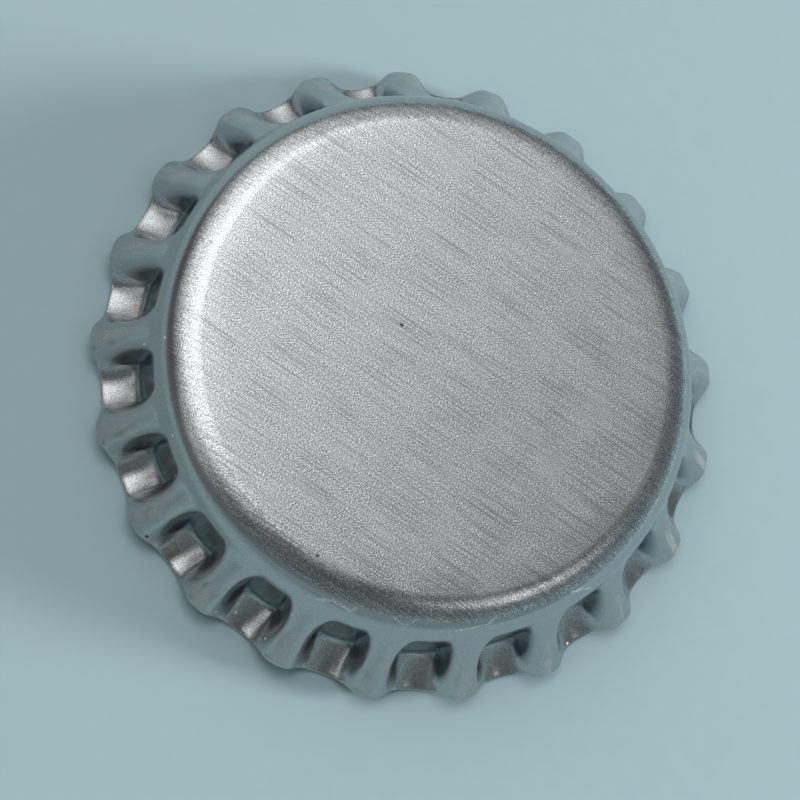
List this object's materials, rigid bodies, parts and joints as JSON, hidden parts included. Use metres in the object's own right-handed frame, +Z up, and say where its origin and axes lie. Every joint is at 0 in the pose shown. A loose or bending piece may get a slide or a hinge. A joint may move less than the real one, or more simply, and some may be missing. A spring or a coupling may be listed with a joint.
{
  "type": "crown bottle cap",
  "caption": "Round pressed-metal crown cap for a bottle, uncrimped: flat panel, rounded shoulder and flared skirt fluted into pockets and teeth.",
  "frame": {"origin": "on the cap's axis, in the plane of the pocket lips that it stands on", "axes": "+Z up the axis, out of the flat panel; one tooth points along +Y and one pocket faces -Y"},
  "size_m": [0.032, 0.0319, 0.006],
  "materials": {
    "tinplate": "satin, clear lacquer over rolled tinplate"
  },
  "bodies": {
    "root": {"cap_shell": "tinplate"}
  },
  "joints": []
}
